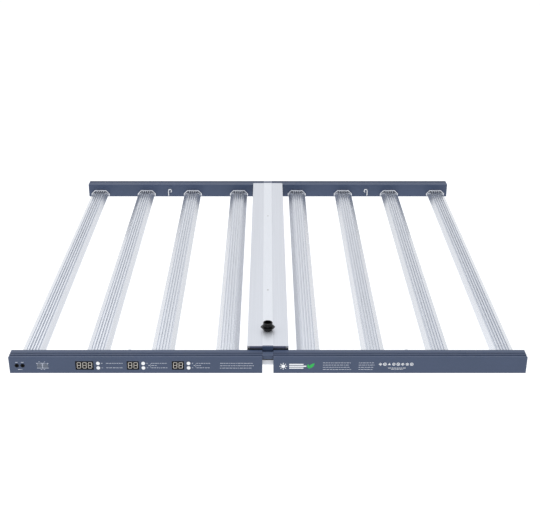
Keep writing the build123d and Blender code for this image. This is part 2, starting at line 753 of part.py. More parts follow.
def make_bar_screws(wing):
    """Screws from inside the rails into the ends of the bars."""
    with BuildPart() as screws:
        for end in ENDS:
            wall = RAIL_DEPTH - RAIL_WALL
            with BuildSketch(facing(inward(end, wall))):
                with Locations(*bar_screw_places(wing)):
                    Circle(BAR_SCREW_HEAD_RADIUS)
            extrude(amount=-end * BAR_SCREW_HEAD)
            with BuildSketch(facing(inward(end, wall))):
                with Locations(*bar_screw_places(wing)):
                    Circle(BAR_SCREW_RADIUS)
            extrude(amount=end * (RAIL_WALL + BAR_SCREW_DEPTH - BAR_SCREW_TIP_GAP))
    return screws


# Hanging hooks


def make_hooks(wing):
    """Wire hooks: a shank through the rail's inner wall, a bend and an open curl towards the spine."""
    stem_x = wing * HOOK_X
    curl_x = stem_x - wing * HOOK_CURL_RADIUS
    half_way = radians((180 + HOOK_CURL_END) / 2)
    last = radians(HOOK_CURL_END)
    with BuildPart() as hooks:
        for end in ENDS:
            tail = inward(end, RAIL_DEPTH - RAIL_WALL - HOOK_TAIL)
            bend = inward(end, RAIL_DEPTH + HOOK_REACH - HOOK_BEND)
            stem = inward(end, RAIL_DEPTH + HOOK_REACH)
            elbow = inward(end, RAIL_DEPTH + HOOK_REACH - HOOK_BEND * (1 - sin(radians(45))))
            with BuildLine() as path:
                Line((stem_x, tail, HOOK_Z), (stem_x, bend, HOOK_Z))
                ThreePointArc(
                    (stem_x, bend, HOOK_Z),
                    (stem_x, elbow, HOOK_Z + HOOK_BEND * (1 - cos(radians(45)))),
                    (stem_x, stem, HOOK_Z + HOOK_BEND),
                )
                Line((stem_x, stem, HOOK_Z + HOOK_BEND), (stem_x, stem, HOOK_CURL_Z))
                ThreePointArc(
                    (stem_x, stem, HOOK_CURL_Z),
                    (
                        curl_x - wing * HOOK_CURL_RADIUS * cos(half_way),
                        stem,
                        HOOK_CURL_Z + HOOK_CURL_RADIUS * sin(half_way),
                    ),
                    (
                        curl_x - wing * HOOK_CURL_RADIUS * cos(last),
                        stem,
                        HOOK_CURL_Z + HOOK_CURL_RADIUS * sin(last),
                    ),
                )
            with BuildSketch(facing(tail)):
                with Locations((stem_x, HOOK_Z)):
                    Circle(HOOK_WIRE_RADIUS)
            sweep(path=path.line)
    return hooks


def make_hook_nuts(wing):
    """Nuts that hold the hooks from inside the rails."""
    with BuildPart() as nuts:
        for end in ENDS:
            with BuildSketch(facing(inward(end, RAIL_DEPTH - RAIL_WALL))):
                with Locations((wing * HOOK_X, HOOK_Z)):
                    RegularPolygon(NUT_SIZE, 6)
                    Circle(HOOK_WIRE_RADIUS, mode=Mode.SUBTRACT)
            extrude(amount=-end * NUT_THICKNESS)
    return nuts


# Control panel


def make_dimming_jacks():
    """Two round sockets with their bodies behind the panel."""
    with BuildPart() as jacks:
        with BuildSketch(facing(inward(-1, -JACK_NOSE_PROUD))):
            with Locations(*JACK_PLACES):
                Circle(JACK_NOSE_RADIUS)
        extrude(amount=-(RAIL_WALL + JACK_NOSE_PROUD))
        with BuildSketch(facing(inward(-1, RAIL_WALL))):
            with Locations(*JACK_PLACES):
                Rectangle(JACK_BODY, JACK_BODY)
        extrude(amount=-JACK_BODY_DEPTH)
        with BuildSketch(facing(inward(-1, -JACK_NOSE_PROUD))):
            with Locations(*JACK_PLACES):
                Circle(JACK_BORE_RADIUS)
        extrude(amount=-JACK_BORE_DEPTH, mode=Mode.SUBTRACT)
    return jacks


def make_displays(windows):
    """Digit modules that fill their windows and stand on the control board."""
    with BuildPart() as displays:
        for x, width in windows:
            with BuildSketch(facing(inward(-1, DISPLAY_INSET))):
                with Locations((x, DISPLAY_Z)):
                    Rectangle(width - 2 * DISPLAY_CLEARANCE, DISPLAY_HEIGHT - 2 * DISPLAY_CLEARANCE)
            extrude(amount=-(BOARD_INSET - DISPLAY_INSET))
    return displays


def make_control_board():
    """Circuit board behind the panel."""
    start, stop = CONTROL_BOARD_SPAN
    foot, top = CONTROL_BOARD_HEIGHTS
    with BuildPart() as board:
        with BuildSketch(facing(inward(-1, BOARD_INSET))):
            with Locations(((start + stop) / 2, (foot + top) / 2)):
                Rectangle(stop - start, top - foot)
        extrude(amount=-BOARD_THICKNESS)
    return board


def make_board_spacers():
    """Bonded spacers between the front wall of the rail and the control board."""
    with BuildPart() as spacers:
        with BuildSketch(facing(inward(-1, RAIL_WALL))):
            with Locations(*[(x, z) for x in SPACER_XS for z in SPACER_ZS]):
                Circle(SPACER_RADIUS)
        extrude(amount=-(BOARD_INSET - RAIL_WALL))
    return spacers


def make_switches():
    """Tactile switches on the control board, one behind each button."""
    places = [(x, z) for x in BUTTON_COLUMNS.values() for z in BUTTON_ROWS.values()]
    with BuildPart() as switches:
        with BuildSketch(facing(inward(-1, SWITCH_INSET))):
            with Locations(*places):
                Rectangle(SWITCH_SIZE, SWITCH_SIZE)
        extrude(amount=-(BOARD_INSET - SWITCH_INSET))
        with BuildSketch(facing(inward(-1, PLUNGER_INSET))):
            with Locations(*places):
                Circle(PLUNGER_RADIUS)
        extrude(amount=-(SWITCH_INSET - PLUNGER_INSET))
    return switches


def make_button(x, z):
    """Round button with a flange that keeps it behind the panel."""
    with BuildPart() as button:
        with BuildSketch(facing(inward(-1, -BUTTON_PROUD))):
            with Locations((x, z)):
                Circle(BUTTON_RADIUS)
        extrude(amount=-(BUTTON_PROUD + BUTTON_FLANGE_INSET))
        with BuildSketch(facing(inward(-1, BUTTON_FLANGE_INSET))):
            with Locations((x, z)):
                Circle(BUTTON_FLANGE_RADIUS)
        extrude(amount=-BUTTON_FLANGE)
        fillet(button.faces().sort_by(Axis.Y)[0].edges(), BUTTON_ROUNDING)
    return button


def save_spine():
    """Makes and writes every piece of the spine."""
    save(make_spine_housing(), "spine_housing")
    save(make_spine_base(), "spine_base")
    save(make_base_screws(), "base_screws")
    save(make_cover_strip(), "cover_strip")
    save(make_strip_screws(), "strip_screws")
    for end, name in zip(ENDS, ("front", "rear")):
        save(make_end_plate(end), f"{name}_end_plate")
        save(make_end_cover(end), f"{name}_end_cover")
        save(make_stop_block(end), f"{name}_stop_block")
    save(make_hinge_bolts(), "hinge_bolts")
    save(make_hinge_washers(), "hinge_washers")
    for name, span in DRIVER_SPANS.items():
        save(make_driver(span), name)
    save(make_junction_board(), "junction_board")
    save(make_inlet_body(), "inlet_body")
    save(make_inlet_pins(), "inlet_pins")
    save(make_inlet_gasket(), "inlet_gasket")
    save(make_inlet_nut(), "inlet_nut")


def save_wing(name, wing):
    """Makes and writes the pieces that both wings have."""
    save(make_rail(wing, 1), f"{name}_rear_rail")
    save(make_rail_covers(wing), f"{name}_rail_covers")
    save(make_end_caps(wing), f"{name}_end_caps")
    save(make_hinge_bushes(wing), f"{name}_hinge_bushes")
    for number, centre in enumerate(bar_centres(wing), start=1):
        save(make_bar(centre), f"{name}_bar_{number}")
    save(make_lamp_boards(wing), f"{name}_lamp_boards")
    save(make_collars(wing), f"{name}_bar_collars")
    save(make_bar_screws(wing), f"{name}_bar_screws")
    save(make_hooks(wing), f"{name}_hooks")
    save(make_hook_nuts(wing), f"{name}_hook_nuts")


def save_panel():
    """Makes and writes both front rails and the control panel in the left one."""
    windows = [window for group in DISPLAYS.values() for window in group]
    buttons = {
        f"{column}_{row}_button": (x, z)
        for column, x in BUTTON_COLUMNS.items()
        for row, z in BUTTON_ROWS.items()
    }
    ports = [(x, z, JACK_HOLE_RADIUS) for x, z in JACK_PLACES]
    ports += [(x, z, BUTTON_HOLE_RADIUS) for x, z in buttons.values()]
    save(make_rail(-1, -1, windows, ports), "left_front_rail")
    save(make_rail(1, -1), "right_front_rail")
    save(make_dimming_jacks(), "dimming_jacks")
    for name, group in DISPLAYS.items():
        save(make_displays(group), name)
    save(make_control_board(), "control_board")
    save(make_board_spacers(), "board_spacers")
    save(make_switches(), "tactile_switches")
    for name, (x, z) in buttons.items():
        save(make_button(x, z), name)


os.makedirs("parts", exist_ok=True)
save_spine()
for wing_name, wing_side in WINGS.items():
    save_wing(wing_name, wing_side)
save_panel()
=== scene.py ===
"""Looks of the folding eight-bar LED grow light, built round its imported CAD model, in metres."""

import bmesh
import bpy
import numpy as np
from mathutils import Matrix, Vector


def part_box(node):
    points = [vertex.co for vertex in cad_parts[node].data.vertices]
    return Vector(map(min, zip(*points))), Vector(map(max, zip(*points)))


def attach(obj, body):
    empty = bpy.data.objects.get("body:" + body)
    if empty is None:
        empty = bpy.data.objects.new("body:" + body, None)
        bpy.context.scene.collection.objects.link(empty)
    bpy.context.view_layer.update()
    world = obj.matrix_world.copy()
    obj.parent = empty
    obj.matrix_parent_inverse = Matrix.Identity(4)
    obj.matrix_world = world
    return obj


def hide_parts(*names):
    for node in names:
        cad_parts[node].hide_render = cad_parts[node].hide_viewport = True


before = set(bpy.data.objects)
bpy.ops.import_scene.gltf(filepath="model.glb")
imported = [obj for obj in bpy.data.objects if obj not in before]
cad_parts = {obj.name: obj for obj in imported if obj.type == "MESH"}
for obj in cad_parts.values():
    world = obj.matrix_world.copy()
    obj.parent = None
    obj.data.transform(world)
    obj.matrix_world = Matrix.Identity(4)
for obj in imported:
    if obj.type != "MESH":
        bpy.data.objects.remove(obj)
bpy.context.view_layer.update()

# Studio. The light is shown hung up level, with a floor of lit opal sheet far enough below it that the
# wings can fold down. A white room, a little greyer towards its ceiling, and one broad lamp overhead give
# a soft, almost shadowless light. Room heights are sines of the angle above the horizon.
CAMERA_BACK = 2.3075
CAMERA_HEIGHT = 1.0947
CAMERA_TILT = 64.68
CAMERA_LENS = 65.5
CAMERA_SHIFT = 0.004
WALL_WHITE = "#ffffff"
CEILING_GREY = "#d3d7de"
GREY_FROM, GREY_TO = 0.3, 0.65
ROOM_STRENGTH = 1.0
LAMP_SIZE = 8.0
LAMP_POWER = 118
LAMP_PLACE = (-1.2, 0.6, 3.4)
LAMP_TILT = (-8, -18, 0)
FLOOR_GREY = "#d9d9d9"
FLOOR_GLOW = 0.48
FLOOR_DROP = 0.62
FLOOR_HALF_SIZE = 14.0


def linear(code):
    """Linear colour with alpha for an sRGB hex code."""
    channels = np.array([int(code[i : i + 2], 16) for i in (1, 3, 5)]) / 255
    curved = ((channels + 0.055) / 1.055) ** 2.4
    return (*np.where(channels <= 0.04045, channels / 12.92, curved).tolist(), 1.0)


def add(tree, kind, inputs=(), **settings):
    """Adds a shader node with its settings; inputs pairs a socket with a value or an output to link."""
    node = tree.nodes.new("ShaderNode" + kind)
    for name, value in settings.items():
        setattr(node, name, value)
    for socket, value in dict(inputs).items():
        if isinstance(value, bpy.types.NodeSocket):
            tree.links.new(value, node.inputs[socket])
        else:
            node.inputs[socket].default_value = value
    return node


scene = bpy.context.scene
scene.view_settings.view_transform = "Standard"
camera = bpy.data.objects.new("camera", bpy.data.cameras.new("camera"))
camera.location = (0, -CAMERA_BACK, CAMERA_HEIGHT)
camera.rotation_euler = (np.radians(CAMERA_TILT), 0, 0)
camera.data.lens = CAMERA_LENS
camera.data.shift_x = CAMERA_SHIFT
scene.collection.objects.link(camera)
scene.camera = camera

room = bpy.data.worlds.new("white room")
room.use_nodes = True
walls = room.node_tree
height = add(walls, "SeparateXYZ", {0: add(walls, "TexCoord").outputs["Generated"]}).outputs["Z"]
rise = add(walls, "MapRange", {"Value": height, "From Min": GREY_FROM, "From Max": GREY_TO})
greys = {0: rise.outputs[0], 6: linear(WALL_WHITE), 7: linear(CEILING_GREY)}
shade = add(walls, "Mix", greys, data_type="RGBA").outputs[2]
walls.links.new(shade, walls.nodes["Background"].inputs["Color"])
walls.nodes["Background"].inputs["Strength"].default_value = ROOM_STRENGTH
scene.world = room

softbox = bpy.data.lights.new("overhead softbox", "AREA")
softbox.size = LAMP_SIZE
softbox.energy = LAMP_POWER
holder = bpy.data.objects.new("overhead softbox", softbox)
holder.location = LAMP_PLACE
holder.rotation_euler = np.radians(LAMP_TILT)
scene.collection.objects.link(holder)

# The floor is one-sided, so that the lamps can also be looked at from below.
floor_corners = np.array([(-1, -1, 0), (1, -1, 0), (1, 1, 0), (-1, 1, 0)]) * FLOOR_HALF_SIZE
floor_mesh = bpy.data.meshes.new("floor")
floor_mesh.from_pydata((floor_corners - (0, 0, FLOOR_DROP)).tolist(), [], [(0, 1, 2, 3)])
floor = bpy.data.objects.new("floor", floor_mesh)
scene.collection.objects.link(floor)
opal_sheet = bpy.data.materials.new("lit opal studio floor")
opal_sheet.use_nodes = True
sheet = opal_sheet.node_tree
opal = sheet.nodes["Principled BSDF"]
opal.inputs["Base Color"].default_value = linear(FLOOR_GREY)
opal.inputs["Roughness"].default_value = 0.9
opal.inputs["Emission Color"].default_value = linear(WALL_WHITE)
opal.inputs["Emission Strength"].default_value = FLOOR_GLOW
from_below = add(sheet, "NewGeometry").outputs["Backfacing"]
clear = add(sheet, "BsdfTransparent").outputs[0]
one_sided = add(sheet, "MixShader", {0: from_below, 1: opal.outputs[0], 2: clear})
sheet.links.new(one_sided.outputs[0], sheet.nodes["Material Output"].inputs[0])
floor_mesh.materials.append(opal_sheet)

# Rails with their bottom covers, end caps and the stop blocks between them: aluminium, extruded, cut and
# milled, with a baked slate blue powder coat. The coat gives a satin face with a fine orange peel, a
# little lighter where it is rubbed along its edges, and its grooves and corners are darkened with painted
# shade. The peel of such a coat is about 1 mm across and a few hundredths of a millimetre high.
MM = 0.001
WINGS = ("left", "right")
# Range of the summed noise, cosines of the rounded normal's turn at which rubbing starts and is full, and
# shares of open space at which the painted shade starts and is full.
NOISE_SPREAD = (0.7, 1.3)
EDGE_TURN = (0.995, 0.86)
EDGE_RUB = 0.7
OPEN_SPACE = (0.95, 0.45)
PAINTED_SHADE_MAX = 0.9
RELIEF_STRENGTH = 0.8


def finish(
    name,
    shades,
    metallic,
    roughness,
    patch,
    grain,
    relief,
    stretch=(1, 1, 1),
    wear=None,
    painted_shade=None,
    **plain,
):
    """Finish on a Principled shader, patterned in object coordinates, with its lengths in millimetres.

    The two shades and the two roughnesses are mixed by the sum of a broad noise of patch size and a fine
    one of grain size, the fine one is also the relief, and stretch multiplies both along x, y and z. Wear
    is a lighter colour and the radius over which it shows on edges: there the rounded normal leaves the
    true one. Painted shade is a darker colour and the reach over which it is painted into grooves and
    corners, where little open space is seen and shade falls. Plain holds values for other sockets of the
    shader.
    """
    material = bpy.data.materials.new(name)
    material.use_nodes = True
    tree = material.node_tree
    shader = tree.nodes["Principled BSDF"]
    for socket, value in {"Metallic": metallic, **plain}.items():
        shader.inputs[socket.replace("_", " ")].default_value = value
    place = add(tree, "TexCoord").outputs["Object"]
    drawn = add(tree, "Mapping", {"Vector": place, "Scale": stretch}).outputs["Vector"]
    clouds = {"Vector": drawn, "Scale": 1 / (patch * MM), "Detail": 3.0}
    broad = add(tree, "TexNoise", clouds).outputs["Fac"]
    grains = {"Vector": drawn, "Scale": 1 / (grain * MM), "Detail": 4.0, "Roughness": 0.6}
    fine = add(tree, "TexNoise", grains).outputs["Fac"]
    both = add(tree, "Math", {0: broad, 1: fine}, operation="ADD").outputs[0]
    spread = {"Value": both, "From Min": NOISE_SPREAD[0], "From Max": NOISE_SPREAD[1]}
    uneven = add(tree, "MapRange", spread).outputs[0]
    tones = {0: uneven, 6: linear(shades[0]), 7: linear(shades[1])}
    colour = add(tree, "Mix", tones, data_type="RGBA").outputs[2]
    dulling = {"Value": uneven, "To Min": roughness[0], "To Max": roughness[1]}
    dull = add(tree, "MapRange", dulling).outputs[0]
    if wear:
        rounded = add(tree, "Bevel", {"Radius": wear[1] * MM}, samples=4).outputs[0]
        flat = add(tree, "NewGeometry").outputs["Normal"]
        same = add(tree, "VectorMath", {0: rounded, 1: flat}, operation="DOT_PRODUCT").outputs["Value"]
        edge = {"Value": same, "From Min": EDGE_TURN[0], "From Max": EDGE_TURN[1], "To Max": EDGE_RUB}
        rub = add(tree, "MapRange", edge).outputs[0]
        broken = add(tree, "Math", {0: rub, 1: fine}, operation="MULTIPLY").outputs[0]
        colour = add(tree, "Mix", {0: broken, 6: colour, 7: linear(wear[0])}, data_type="RGBA").outputs[2]
    # Painted shade: where ambient occlusion finds little open space within the reach, in grooves and
    # corners, the colour is mixed towards the darker one, as if shade fell there.
    if painted_shade:
        free = add(tree, "AmbientOcclusion", {"Distance": painted_shade[1] * MM}, samples=6).outputs["AO"]
        shade_range = {"Value": free, "From Min": OPEN_SPACE[0], "From Max": OPEN_SPACE[1], "To Max": PAINTED_SHADE_MAX}
        shade_share = add(tree, "MapRange", shade_range).outputs[0]
        colour = add(tree, "Mix", {0: shade_share, 6: colour, 7: linear(painted_shade[0])}, data_type="RGBA").outputs[2]
    bump = add(tree, "Bump", {"Height": fine, "Distance": relief * MM, "Strength": RELIEF_STRENGTH})
    tree.links.new(colour, shader.inputs["Base Color"])
    tree.links.new(dull, shader.inputs["Roughness"])
    tree.links.new(bump.outputs["Normal"], shader.inputs["Normal"])
    return material


def dress(material, *nodes):
    """Gives CAD nodes a finish."""
    for node in nodes:
        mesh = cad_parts[node].data
        if mesh.materials:
            mesh.materials[0] = material
        else:
            mesh.materials.append(material)


slate_coat = finish(
    "slate blue powder coat",
    ("#35445e", "#3f4c68"),
    metallic=0.0,
    roughness=(0.38, 0.54),
    patch=120,
    grain=0.9,
    relief=0.05,
    wear=("#737c94", 0.5),
    # painted shade in the coat's grooves and corners
    painted_shade=("#273049", 3.5),
)
for wing in WINGS:
    dress(slate_coat, f"{wing}_front_rail", f"{wing}_rear_rail", f"{wing}_rail_covers", f"{wing}_end_caps")
dress(slate_coat, "front_stop_block", "rear_stop_block")

# End plates of the spine: steel plate that closes the ends of the housing, with tapped bosses for the
# hinge bolts. Its coat is greyer and thinner than that of the rails and shows a flatter orange peel.
plate_coat = finish(
    "grey blue coated steel plate",
    ("#535870", "#5c6178"),
    metallic=0.0,
    roughness=(0.42, 0.56),
    patch=50,
    grain=0.8,
    relief=0.04,
    wear=("#858a9a", 0.4),
)
dress(plate_coat, "front_end_plate", "rear_end_plate")

# Spine: a wide inverted channel of extruded aluminium, clear anodised, on a flat tray of the same. Its die
# leaves faint lines along the length under a pale, even sheen. Real ones are a few tenths of a millimetre
# wide and wouldn't show, so they are drawn 1.6 mm wide.
pale_spine = finish(
    "clear anodised spine extrusion",
    ("#cdcfd4", "#d9dbe0"),
    metallic=0.6,
    roughness=(0.34, 0.46),
    patch=90,
    grain=1.6,
    relief=0.015,
    stretch=(1, 0.004, 1),
    wear=("#e2e4e8", 0.4),
)
dress(pale_spine, "spine_housing", "spine_base")

# Cover strip: a thin aluminium strip, brushed lengthways and satin anodised, held over the wiring slot of
# the housing by two screws. It looks whiter than the housing, with a soft grain along it.
white_strip = finish(
    "white satin anodised strip",
    ("#dbdde1", "#e4e6ea"),
    metallic=0.5,
    roughness=(0.36, 0.46),
    patch=70,
    grain=0.6,
    relief=0.012,
    stretch=(1, 0.02, 1),
)
dress(white_strip, "cover_strip")

# Lamp bars: finned aluminium extrusions with a satin clear anodising, cut to length and screwed between
# the rails. Die lines run their whole length, drawn 0.9 mm wide because real ones are too fine to show,
# and the grooves between the fins and the ends by the rails are a little darker with painted shade.
BARS = (1, 2, 3, 4)
bar_metal = finish(
    "satin anodised finned extrusion",
    ("#d9dce1", "#e5e7ec"),
    metallic=0.85,
    roughness=(0.22, 0.32),
    patch=50,
    grain=0.9,
    relief=0.004,
    stretch=(1, 0.002, 1),
    wear=("#eef0f3", 0.3),
    # painted shade in the grooves between the fins and at the bars' ends
    painted_shade=("#dadde3", 6.0),
)
for wing in WINGS:
    dress(bar_metal, *[f"{wing}_bar_{number}" for number in BARS])

# Collars: strips of thin aluminium plate, bent over the ends of the bars, which they hold against the
# rails. They are bright anodised, which makes them the lightest metal on the light, almost white.
collar_metal = finish(
    "bright anodised collar plate",
    ("#e8eaf0", "#f2f4f8"),
    metallic=0.4,
    roughness=(0.2, 0.3),
    patch=20,
    grain=0.5,
    relief=0.01,
    wear=("#fbfcfd", 0.5),
)
dress(collar_metal, "left_bar_collars", "right_bar_collars")

# Black mouldings of the spine's ends, the board's spacers and the switches: glass-filled nylon with a fine
# spark-eroded grain that scatters light from a dull black.
black_nylon = finish(
    "spark grained black nylon",
    ("#17181b", "#1f2024"),
    metallic=0.0,
    roughness=(0.5, 0.68),
    patch=30,
    grain=0.35,
    relief=0.02,
    wear=("#3a3b40", 0.25),
)
dress(black_nylon, "front_end_cover", "rear_end_cover", "board_spacers", "tactile_switches")

# Power inlet: a moulded body of polished black thermoplastic on the cover strip, clamped by a nut of the
# same inside the housing. It is a deeper black than the nylon, with soft highlights along the rims.
gloss_black = finish(
    "polished black thermoplastic",
    ("#060607", "#0b0b0d"),
    metallic=0.0,
    roughness=(0.24, 0.36),
    patch=20,
    grain=0.5,
    relief=0.008,
    wear=("#2c2d31", 0.3),
    Specular_IOR_Level=0.32,
)
dress(gloss_black, "inlet_body", "inlet_nut")

# Dimming jacks: moulded black acetal, with noses that fill two round holes of the panel level with its
# face. Acetal is waxy, so they are darker and duller than the inlet.
jack_acetal = finish(
    "black acetal",
    ("#050506", "#09090b"),
    metallic=0.0,
    roughness=(0.4, 0.5),
    patch=6,
    grain=0.4,
    relief=0.01,
    Specular_IOR_Level=0.1,
)
dress(jack_acetal, "dimming_jacks")

# Gasket between the inlet and the cover strip: nitrile rubber cut from sheet, matte with a slight grey
# bloom.
gasket_rubber = finish(
    "nitrile gasket rubber",
    ("#141416", "#222326"),
    metallic=0.0,
    roughness=(0.7, 0.85),
    patch=10,
    grain=0.4,
    relief=0.02,
)
dress(gasket_rubber, "inlet_gasket")

# Contacts of the inlet: brass pins, turned from rod and set in the core of its body. The tool leaves fine
# rings round them, which break up the yellow shine.
pin_brass = finish(
    "turned contact brass",
    ("#c9a24f", "#d9b768"),
    metallic=1.0,
    roughness=(0.22, 0.34),
    patch=4,
    grain=0.25,
    relief=0.01,
    stretch=(1, 1, 6),
)
dress(pin_brass, "inlet_pins")

# Small steel: hinge bolts, washers and screws, turned or headed, zinc plated and clear passivated. The
# passivation gives a faint blue and yellow clouding over a half-bright grey.
zinc_plate = finish(
    "clear passivated zinc plate",
    ("#a7adb6", "#bdb9ac"),
    metallic=1.0,
    roughness=(0.3, 0.45),
    patch=4,
    grain=0.3,
    relief=0.01,
    wear=("#d8d9db", 0.15),
)
dress(zinc_plate, "hinge_bolts", "hinge_washers", "left_bar_screws", "right_bar_screws", "base_screws")

# Hanging hooks and their nuts: stainless wire, bent, threaded at one end and polished, and held in the
# rails' inner walls. It mirrors the room in thin bright lines, broken by faint drawing marks.
bright_wire = finish(
    "polished stainless wire",
    ("#d6d8db", "#e6e7e9"),
    metallic=1.0,
    roughness=(0.1, 0.2),
    patch=10,
    grain=0.3,
    relief=0.006,
    stretch=(1, 1, 0.2),
)
dress(bright_wire, "left_hooks", "right_hooks", "left_hook_nuts", "right_hook_nuts")

# Hinge bushes: flanged sleeves of sintered bronze, pressed into the rails' inner walls. Open pores that
# hold oil make them a dull brown gold.
bush_bronze = finish(
    "sintered bronze",
    ("#7d5a32", "#9a7344"),
    metallic=1.0,
    roughness=(0.45, 0.6),
    patch=3,
    grain=0.15,
    relief=0.03,
)
dress(bush_bronze, "left_hinge_bushes", "right_hinge_bushes")

# Drivers inside the spine: potted aluminium cans with a black anodising, standing on the tray. They are
# a half-matte grey black, with bright metal along rubbed edges.
driver_can = finish(
    "black anodised driver can",
    ("#1d1e21", "#292a2e"),
    metallic=0.7,
    roughness=(0.42, 0.55),
    patch=50,
    grain=0.6,
    relief=0.02,
    stretch=(1, 0.05, 1),
    wear=("#6f7073", 0.5),
)
dress(driver_can, "front_driver", "rear_driver")

# Circuit boards behind the panel and in the spine: glass laminate with a glossy green solder mask. The
# copper under the mask shows as lighter lines, half a millimetre wide.
TRACK_WIDTH = 0.5
green_mask = finish(
    "green solder mask",
    ("#11532b", "#1b6437"),
    metallic=0.0,
    roughness=(0.22, 0.32),
    patch=6,
    grain=0.8,
    relief=0.01,
)


def lined(material, code, width, height, line, turn=0.0):
    """Adds lines of another colour to a finish, in a brick pattern whose blocks and lines are in
    millimetres. The turn is about the X axis, so that the pattern also falls on upright boards."""
    tree = material.node_tree
    colour = tree.nodes["Principled BSDF"].inputs["Base Color"]
    place = add(tree, "TexCoord").outputs["Object"]
    turned = add(tree, "Mapping", {"Vector": place, "Rotation": (turn, 0, 0)}).outputs[0]
    sizes = {"Scale": 1 / MM, "Mortar Size": line / 2, "Brick Width": width, "Row Height": height}
    lines = add(tree, "TexBrick", {"Vector": turned, **sizes}).outputs["Fac"]
    before = colour.links[0].from_socket
    mixed = add(tree, "Mix", {0: lines, 6: before, 7: linear(code)}, data_type="RGBA")
    tree.links.new(mixed.outputs[2], colour)


lined(green_mask, "#3f8a55", width=7.0, height=3.0, line=TRACK_WIDTH, turn=np.radians(45))
dress(green_mask, "control_board", "junction_board")

# Lamp boards: aluminium-core boards with a white solder mask, bonded and screwed under the webs of the
# bars. The copper under the mask shows as faint blocks, as large as one diode's share of the board, and
# the mask has a slight sheen.
DIODE_PITCH = 9.6
ROW_PITCH = 13.5
white_mask = finish(
    "white solder mask",
    ("#d2d2cb", "#deded8"),
    metallic=0.0,
    roughness=(0.3, 0.42),
    patch=20,
    grain=0.5,
    relief=0.01,
)
lined(white_mask, "#b9bab2", width=ROW_PITCH, height=DIODE_PITCH, line=TRACK_WIDTH)
dress(white_mask, "left_lamp_boards", "right_lamp_boards")

# Digit displays: blocks cast in black epoxy, which fill their windows in the panel. The face is smooth
# and faintly wavy, and nearly as black as the jacks.
display_epoxy = finish(
    "black display epoxy",
    ("#040405", "#08080a"),
    metallic=0.0,
    roughness=(0.3, 0.4),
    patch=20,
    grain=1.2,
    relief=0.004,
    Specular_IOR_Level=0.12,
)
dress(display_epoxy, "three_digit_display", "two_digit_displays")

# Digits: unlit segments of a translucent warm grey resin, cast into the black blocks and level with their
# face to a few hundredths of a millimetre. Unlit, they look like pale, matte bars.
DIGIT_PITCH = 11.7
DIGIT_WIDTH = 7.4
DIGIT_HEIGHT = 13.4
DIGIT_LEAN = 0.05
SEGMENT_WIDTH = 1.0
SEGMENT_TIP = 0.25
SEGMENT_GAP = 0.35
SEGMENT_RISE = 0.03
segment_resin = finish(
    "unlit warm grey segment resin",
    ("#cfc9c1", "#dcd6ce"),
    metallic=0.0,
    roughness=(0.35, 0.45),
    patch=10,
    grain=0.4,
    relief=0.004,
)


def joined(shapes):
    """Several shapes as one: each one's face numbers are moved up by the points before it."""
    starts = np.cumsum([0] + [len(points) for points, _ in shapes[:-1]])
    faces = np.concatenate([faces + start for (_, faces), start in zip(shapes, starts)])
    return np.concatenate([points for points, _ in shapes]), faces


def tube_of(rings):
    """Closed shape, as its points and faces, through rings of points, rings x points x 3: quads join each
    ring to the next, and the two end rings are closed by quads between their mirrored points."""
    rows, columns, _ = rings.shape
    index = np.arange(rows * columns).reshape(rows, columns)
    after = np.roll(index, -1, axis=1)
    sides = np.stack([index[:-1], after[:-1], after[1:], index[1:]], axis=-1).reshape(-1, 4)
    step = np.arange(columns // 2 - 1)
    lid = np.stack([step, step + 1, columns - 2 - step, columns - 1 - step], axis=1)
    return rings.reshape(-1, 3), np.concatenate([sides, lid[:, ::-1], lid + (rows - 1) * columns])


def ribbon(path, widths, face, thickness, closed=False):
    """Flat bar on an upright face that looks towards -Y.

    The path is in millimetres as (x, z). Each point is pushed half its width to both sides of the path's
    direction, in front of the face by the thickness and behind it by as much, and the four lines of
    corners are joined into one skin.
    """
    path = np.asarray(path, float)
    ahead = np.roll(path, -1, 0) - np.roll(path, 1, 0)
    if not closed:
        ahead[0], ahead[-1] = path[1] - path[0], path[-1] - path[-2]
    ahead /= np.linalg.norm(ahead, axis=1, keepdims=True)
    side = np.stack([-ahead[:, 1], ahead[:, 0]], axis=1) * np.broadcast_to(widths, len(path))[:, None] / 2
    corners = np.stack([path + side, path - side, path - side, path + side], axis=1)
    depth = np.broadcast_to(np.array([-1, -1, 1, 1]) * thickness + face, corners.shape[:2])
    rings = np.stack([corners[..., 0], depth, corners[..., 1]], axis=-1) * MM
    if closed:
        rings = np.concatenate([rings, rings[:1]])
    return tube_of(rings)


def new_piece(name, shape, materials, body, smooth=False, choice=None):
    """Object from a shape, with outward faces; it rides on a body and takes a slot of the record."""
    points, faces = shape
    mesh = bpy.data.meshes.new(name)
    mesh.from_pydata(points.tolist(), [], faces.tolist())
    for material in materials:
        mesh.materials.append(material)
    if choice is not None:
        mesh.polygons.foreach_set("material_index", np.asarray(choice, int))
    mesh.polygons.foreach_set("use_smooth", np.full(len(faces), smooth))
    outward = bmesh.new()
    outward.from_mesh(mesh)
    bmesh.ops.remove_doubles(outward, verts=outward.verts, dist=1e-6)
    bmesh.ops.recalc_face_normals(outward, faces=outward.faces)
    outward.to_mesh(mesh)
    outward.free()
    piece = bpy.data.objects.new(name, mesh)
    scene.collection.objects.link(piece)
    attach(piece, body)
    return piece


def segment(x0, z0, x1, z1, face):
    """One bar of a digit: a ribbon from point to point, less a gap at both ends, that narrows to a tip
    over half its width."""
    span = np.hypot(x1 - x0, z1 - z0)
    taper = 0.5 * SEGMENT_WIDTH
    along = np.array([0, taper, span - SEGMENT_GAP - taper, span - SEGMENT_GAP]) + SEGMENT_GAP / 2
    path = np.array([x0, z0]) + along[:, None] * np.array([x1 - x0, z1 - z0]) / span
    widths = np.array([SEGMENT_TIP, 1, 1, SEGMENT_TIP]) * SEGMENT_WIDTH
    return ribbon(path, widths, face, SEGMENT_RISE)


